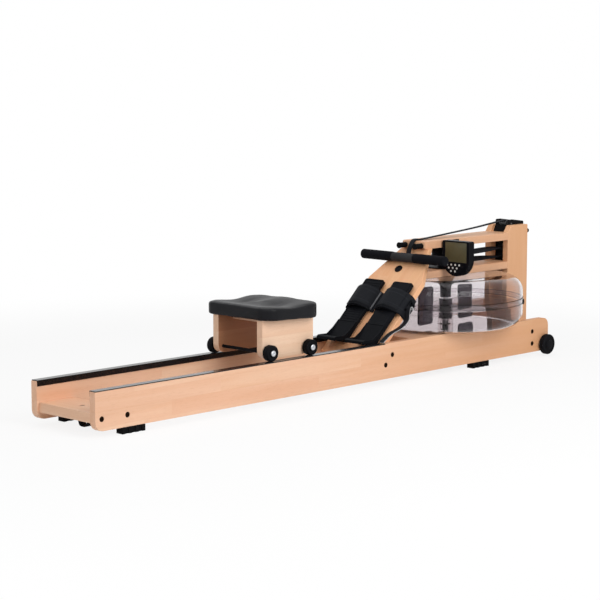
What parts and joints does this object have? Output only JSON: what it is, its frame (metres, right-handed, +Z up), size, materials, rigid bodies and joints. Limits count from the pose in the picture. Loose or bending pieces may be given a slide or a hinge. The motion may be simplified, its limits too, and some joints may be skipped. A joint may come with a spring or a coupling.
{
  "type": "water rowing machine",
  "caption": "Water rowing machine: wooden rails with a rolling seat, sloping footboard, strap handle, monitor and a round clear water tank with a paddle.",
  "frame": {"origin": "on the floor, at the middle of the length and of the width", "axes": "+X from the seat towards the tank and the front wheels, +Y to the side away from the monitor, +Z up"},
  "size_m": [2.114, 0.538, 0.4845],
  "materials": {
    "wood": "satin oiled hardwood",
    "pale_wood": "satin oiled hardwood, paler",
    "black_plastic": "moulded, fine texture",
    "grey_plastic": "smooth nylon",
    "black_rubber": "matte",
    "roller": "smooth polyurethane",
    "foam": "closed-cell foam",
    "webbing": "woven webbing",
    "steel": "brushed",
    "black_steel": "powder coated",
    "smoky_clear": "clear smoky plastic, glossy",
    "water": "clear water",
    "screen": "olive display",
    "seat_pad": "soft moulded, satin"
  },
  "bodies": {
    "frame": {"near_rail": "wood", "far_rail": "wood", "near_track": "black_plastic", "far_track": "black_plastic", "rear_near_foot": "black_rubber", "rear_far_foot": "black_rubber", "front_near_foot": "black_rubber", "front_far_foot": "black_rubber", "rear_cross_board": "wood", "rear_pull_loop": "webbing", "front_cross_board": "wood", "tank_base_board": "wood", "footboard": "wood", "footboard_cleat": "wood", "near_footplate": "black_plastic", "far_footplate": "black_plastic", "near_toe_strap": "webbing", "far_toe_strap": "webbing", "near_upright": "wood", "far_upright": "wood", "upper_deck": "wood", "lower_deck": "wood", "tower_bracket": "black_steel", "drum_strap": "webbing", "recoil_strap": "webbing", "pull_strap": "webbing", "tank_lower": "smoky_clear", "tank_upper": "smoky_clear", "tank_band": "smoky_clear", "tank_water": "water", "monitor_arm": "black_plastic", "handle_rest": "black_plastic"},
    "seat": {"seat_pad": "seat_pad", "seat_base": "pale_wood", "near_seat_side": "pale_wood", "far_seat_side": "pale_wood", "rear_seat_axle": "steel", "front_seat_axle": "steel"},
    "roller_rear_near": {"rear_near_roller": "roller"},
    "roller_rear_far": {"rear_far_roller": "roller"},
    "roller_front_near": {"front_near_roller": "roller"},
    "roller_front_far": {"front_far_roller": "roller"},
    "handle": {"handle_bar": "grey_plastic", "near_grip": "foam", "far_grip": "foam", "handle_yoke": "webbing"},
    "drum": {"drum": "black_plastic"},
    "roller_top": {"top_roller": "grey_plastic"},
    "pulley_front": {"front_pulley": "grey_plastic"},
    "pulley_lower": {"lower_pulley": "grey_plastic"},
    "pulley_recoil": {"recoil_pulley": "grey_plastic"},
    "paddle": {"paddle": "black_plastic", "paddle_shaft": "steel"},
    "monitor": {"monitor_housing": "black_plastic", "monitor_screen": "screen"},
    "heel_near": {"near_heel_cup": "black_plastic"},
    "heel_far": {"far_heel_cup": "black_plastic"},
    "plug": {"fill_plug": "black_plastic"},
    "wheel_near": {"near_wheel": "black_plastic"},
    "wheel_far": {"far_wheel": "black_plastic"}
  },
  "joints": [
    {"name": "seat_slide", "type": "slide", "parent": "frame", "child": "seat", "axis": [1, 0, 0], "range_m": [-0.67, 0.225]},
    {"name": "roller_rear_near_spin", "type": "hinge", "parent": "seat", "child": "roller_rear_near", "pos_m": [-0.345, -0.125, 0.1613], "axis": [0, 1, 0], "continuous": true},
    {"name": "roller_rear_far_spin", "type": "hinge", "parent": "seat", "child": "roller_rear_far", "pos_m": [-0.345, 0.125, 0.1613], "axis": [0, 1, 0], "continuous": true},
    {"name": "roller_front_near_spin", "type": "hinge", "parent": "seat", "child": "roller_front_near", "pos_m": [-0.17, -0.125, 0.1613], "axis": [0, 1, 0], "continuous": true},
    {"name": "roller_front_far_spin", "type": "hinge", "parent": "seat", "child": "roller_front_far", "pos_m": [-0.17, 0.125, 0.1613], "axis": [0, 1, 0], "continuous": true},
    {"name": "handle_pull", "type": "slide", "parent": "frame", "child": "handle", "axis": [-1, 0, 0], "range_m": [0, 1.1], "deforming": ["pull_strap"]},
    {"name": "drum_spin", "type": "hinge", "parent": "frame", "child": "drum", "pos_m": [0.64, 0, 0.376], "axis": [0, 0, 1], "continuous": true},
    {"name": "top_roller_spin", "type": "hinge", "parent": "frame", "child": "roller_top", "pos_m": [0.97, 0, 0.469], "axis": [0, 1, 0], "continuous": true},
    {"name": "front_pulley_spin", "type": "hinge", "parent": "frame", "child": "pulley_front", "pos_m": [1.017, 0, 0.451], "axis": [0, 1, 0], "continuous": true},
    {"name": "lower_pulley_spin", "type": "hinge", "parent": "frame", "child": "pulley_lower", "pos_m": [1.009, 0, 0.4043], "axis": [0, 1, 0], "continuous": true},
    {"name": "recoil_pulley_spin", "type": "hinge", "parent": "frame", "child": "pulley_recoil", "pos_m": [1.003, 0, 0.3417], "axis": [0, 1, 0], "continuous": true},
    {"name": "paddle_spin", "type": "hinge", "parent": "frame", "child": "paddle", "pos_m": [0.64, 0, 0.2], "axis": [0, 0, 1], "continuous": true},
    {"name": "monitor_tilt", "type": "hinge", "parent": "frame", "child": "monitor", "pos_m": [0.589, -0.1165, 0.4], "axis": [0, 1, 0], "range_deg": [0, 25]},
    {"name": "near_heel_slide", "type": "slide", "parent": "frame", "child": "heel_near", "axis": [0.7242, 0, 0.6896], "range_m": [0, 0.05]},
    {"name": "far_heel_slide", "type": "slide", "parent": "frame", "child": "heel_far", "axis": [0.7242, 0, 0.6896], "range_m": [0, 0.05]},
    {"name": "plug_lift", "type": "slide", "parent": "frame", "child": "plug", "axis": [0, 0, 1], "range_m": [0, 0.03]},
    {"name": "near_wheel_spin", "type": "hinge", "parent": "frame", "child": "wheel_near", "pos_m": [1.021, -0.155, 0.042], "axis": [0, 1, 0], "continuous": true},
    {"name": "far_wheel_spin", "type": "hinge", "parent": "frame", "child": "wheel_far", "pos_m": [1.021, 0.155, 0.042], "axis": [0, 1, 0], "continuous": true}
  ],
  "couplings": [
    {"joint": "roller_rear_near_spin", "follows": "seat_slide", "rad_per_m": 40},
    {"joint": "roller_rear_far_spin", "follows": "seat_slide", "rad_per_m": 40},
    {"joint": "roller_front_near_spin", "follows": "seat_slide", "rad_per_m": 40},
    {"joint": "roller_front_far_spin", "follows": "seat_slide", "rad_per_m": 40},
    {"joint": "drum_spin", "follows": "handle_pull", "rad_per_m": 20},
    {"joint": "top_roller_spin", "follows": "handle_pull", "rad_per_m": -83.33},
    {"joint": "front_pulley_spin", "follows": "handle_pull", "rad_per_m": -62.5},
    {"joint": "lower_pulley_spin", "follows": "handle_pull", "rad_per_m": -62.5},
    {"joint": "recoil_pulley_spin", "follows": "handle_pull", "rad_per_m": -60}
  ]
}
